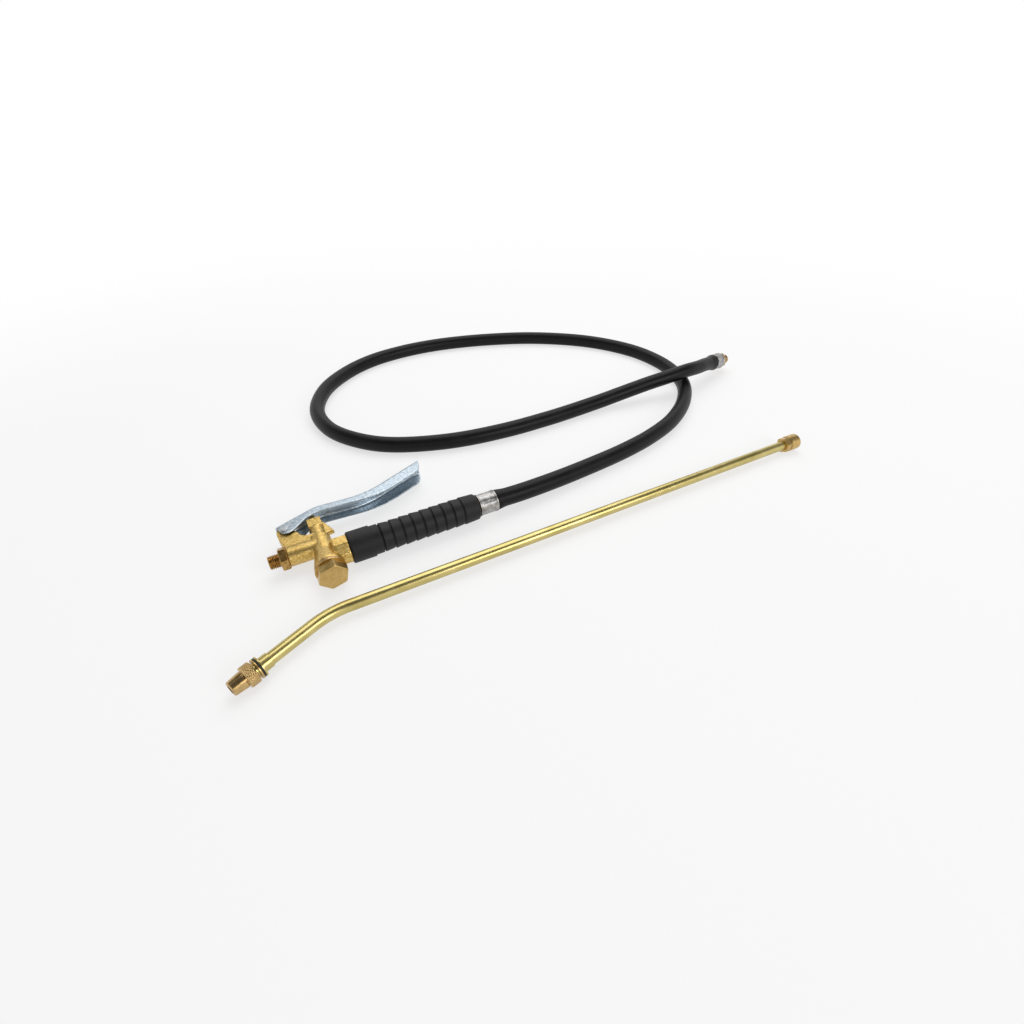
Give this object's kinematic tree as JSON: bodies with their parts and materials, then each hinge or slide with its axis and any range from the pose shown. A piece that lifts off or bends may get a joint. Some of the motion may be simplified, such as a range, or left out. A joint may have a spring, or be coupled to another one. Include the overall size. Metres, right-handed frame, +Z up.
{
  "type": "sprayer hand gun with hose and lance",
  "caption": "Lever-operated brass spray gun with moulded grip and a looped pressure hose, laid beside its bent brass lance with adjustable nozzle and union nut.",
  "frame": {"origin": "on the floor, under the middle of the box round the gun and the lance", "axes": "+X along the grip from the valve to the hose, +Y from the lance towards the lever and the hose's loop, +Z up"},
  "size_m": [0.6785, 0.488, 0.0357],
  "materials": {
    "cast_brass": "matt as-cast skin with machined faces",
    "turned_brass": "machined",
    "copper": "soft copper washer",
    "tube_brass": "drawn tube, satin",
    "zinc_steel": "pressed sheet, blue zinc plating",
    "bare_steel": "plain steel",
    "black_grip": "moulded",
    "black_hose": "smooth extruded cover",
    "seal_rubber": "nitrile",
    "soft_aluminium": "crimped, matt"
  },
  "bodies": {
    "gun": {"valve_body": "cast_brass", "cap_nut": "turned_brass", "cap_washer": "copper", "valve_spring": "bare_steel", "stem_packing": "seal_rubber", "gland_nut": "turned_brass", "lever_pin": "bare_steel", "outlet_nipple": "turned_brass", "handle_tube": "bare_steel", "hose_tail": "turned_brass", "grip": "black_grip", "handle_ferrule": "soft_aluminium", "hose": "black_hose", "end_ferrule": "soft_aluminium", "end_fitting": "turned_brass"},
    "lever": {"lever": "zinc_steel"},
    "spindle": {"valve_spindle": "turned_brass", "disc_seal": "seal_rubber"},
    "lance": {"lance_tube": "tube_brass", "nozzle_body": "turned_brass", "lock_ring": "turned_brass", "nozzle_seal": "seal_rubber", "swirl_core": "turned_brass", "union_collar": "turned_brass", "union_seal": "seal_rubber"},
    "jet": {"jet_disc": "bare_steel", "jet_gasket": "seal_rubber"},
    "nozzle_cap": {"nozzle_cap": "turned_brass"},
    "union_nut": {"union_nut": "turned_brass"}
  },
  "joints": [
    {"name": "lever_squeeze", "type": "hinge", "parent": "gun", "child": "lever", "pos_m": [-0.236, 0.046, 0.014], "axis": [0, 0, -1], "range_deg": [0, 12]},
    {"name": "stem_slide", "type": "slide", "parent": "gun", "child": "spindle", "axis": [0, -1, 0], "range_m": [0, 0.0063], "stiffness_N_per_m": 1200, "springref_m": -0.005, "deforming": ["valve_spring"]},
    {"name": "lance_lift", "type": "slide", "parent": "gun", "child": "lance", "axis": [0, 0, 1], "range_m": [0, 0.2]},
    {"name": "nozzle_advance", "type": "slide", "parent": "lance", "child": "jet", "axis": [-0.9063, -0.4226, 0], "range_m": [0, 0.0015]},
    {"name": "nozzle_turn", "type": "hinge", "parent": "jet", "child": "nozzle_cap", "pos_m": [-0.2964, -0.08675, 0.0085], "axis": [-0.9063, -0.4226, 0], "range_deg": [0, 541]},
    {"name": "union_spin", "type": "hinge", "parent": "lance", "child": "union_nut", "pos_m": [0.285, -0.0523, 0.0085], "axis": [1, 0, 0], "continuous": true}
  ],
  "couplings": [
    {"joint": "stem_slide", "follows": "lever_squeeze", "m_per_rad": 0.0288},
    {"joint": "nozzle_turn", "follows": "nozzle_advance", "rad_per_m": 6283.2}
  ]
}
